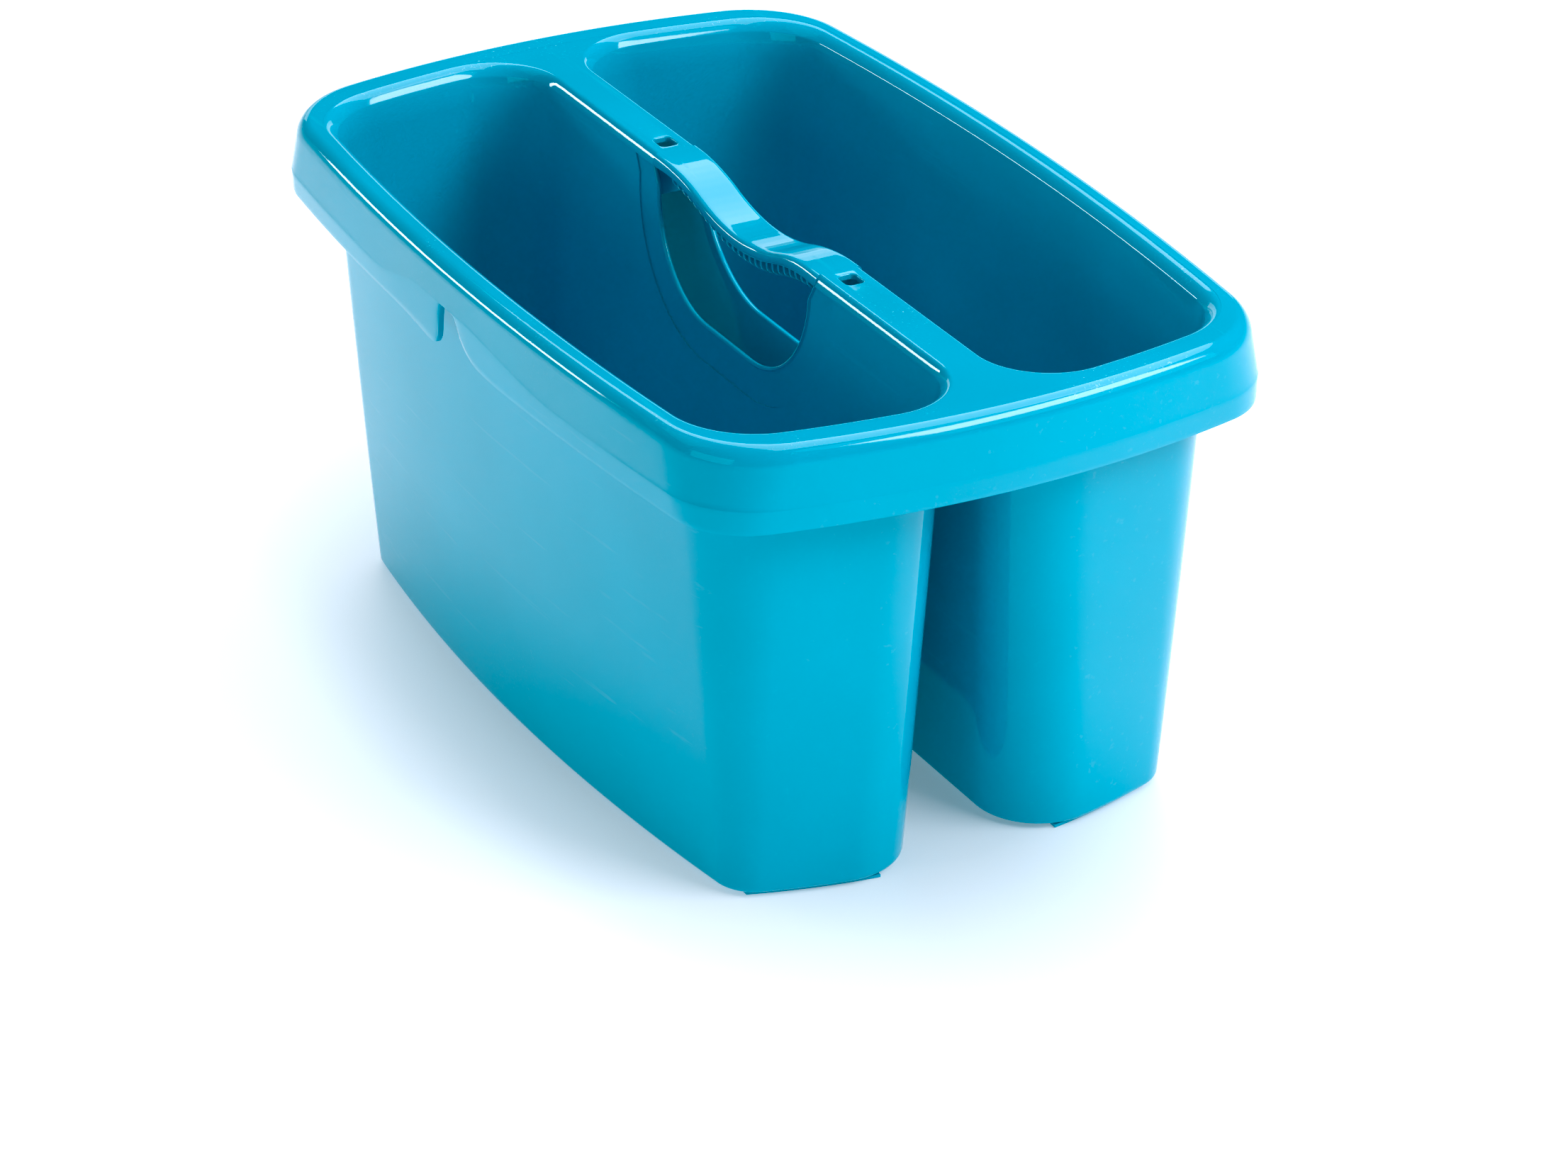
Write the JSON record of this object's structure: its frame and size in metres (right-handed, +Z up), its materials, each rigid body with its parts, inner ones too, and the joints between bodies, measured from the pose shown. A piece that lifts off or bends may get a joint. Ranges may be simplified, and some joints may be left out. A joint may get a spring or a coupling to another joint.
{
  "type": "two-compartment cleaning caddy",
  "caption": "Plastic cleaning caddy with deep twin buckets hung from one wide rim and a dipped carry handle over the gap between them.",
  "frame": {"origin": "on the floor under the middle of the caddy", "axes": "+Z up, +Y along the divider and the handle, +X across the two buckets"},
  "size_m": [0.2606, 0.4, 0.1985],
  "materials": {
    "polypropylene": "gloss"
  },
  "bodies": {
    "root": {"bucket_left": "polypropylene", "bucket_right": "polypropylene", "divider_deck_front": "polypropylene", "divider_deck_rear": "polypropylene", "end_web_front": "polypropylene", "end_web_rear": "polypropylene", "foot_left_front": "polypropylene", "foot_left_rear": "polypropylene", "foot_right_front": "polypropylene", "foot_right_rear": "polypropylene", "grip_frame_left": "polypropylene", "grip_frame_right": "polypropylene", "handle": "polypropylene", "rim_deck": "polypropylene", "rim_fascia": "polypropylene", "rim_hem_front": "polypropylene", "rim_hem_rear": "polypropylene"}
  },
  "joints": []
}
